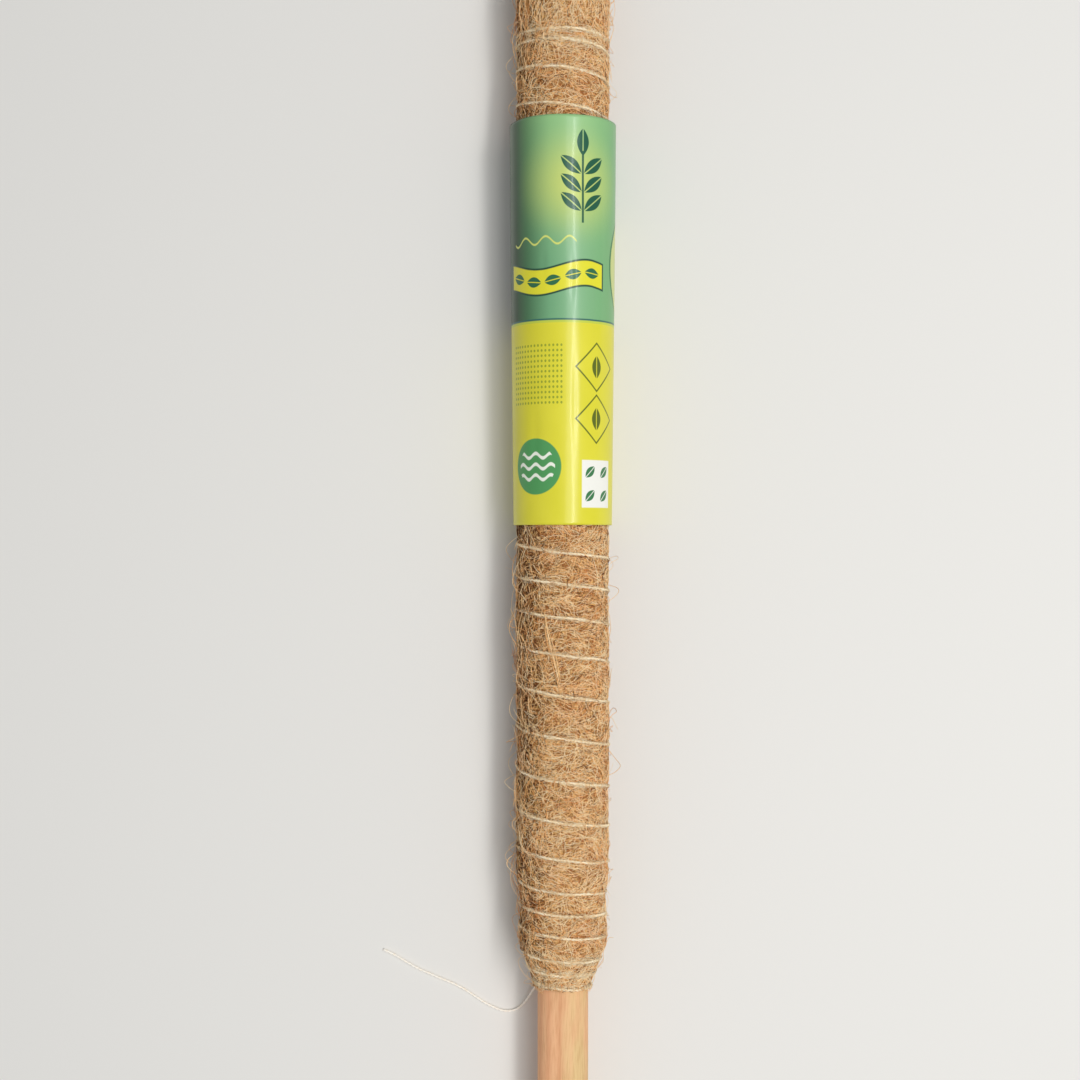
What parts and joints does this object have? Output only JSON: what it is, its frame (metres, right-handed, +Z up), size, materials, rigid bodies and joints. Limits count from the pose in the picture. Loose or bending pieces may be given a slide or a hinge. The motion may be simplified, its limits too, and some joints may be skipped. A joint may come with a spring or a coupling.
{
  "type": "moss pole",
  "caption": "Round wooden plant stake padded with coir matting, lashed with a helix of twine and gathered at the foot, with a loose printed paper sleeve that slides along it.",
  "frame": {"origin": "on the floor under the middle of the pole, which lies on its side as pictured", "axes": "+Y along the pole from its bare foot to its top end, +Z up, +X to the right of the picture"},
  "size_m": [0.1127, 0.6, 0.0504],
  "materials": {
    "stake_wood": "turned bare wood, fine lengthwise grain",
    "loose_coir": "loose coconut fibre",
    "coir": "matted curly coconut fibre",
    "twine": "fuzzy twisted natural twine",
    "printed_paper": "satin coated printed paper"
  },
  "bodies": {
    "pole": {"wooden_stake": "stake_wood", "coir_padding": "loose_coir", "coir_mat": "coir", "twine_top_tie": "twine", "twine_lashing": "twine", "twine_foot_tie": "twine", "foot_knot": "twine", "twine_tail": "twine"},
    "sleeve": {"label_sleeve": "printed_paper"}
  },
  "joints": [
    {"name": "sleeve_slide", "type": "slide", "parent": "pole", "child": "sleeve", "axis": [0, 1, 0], "range_m": [-0.196, 0.274]}
  ]
}
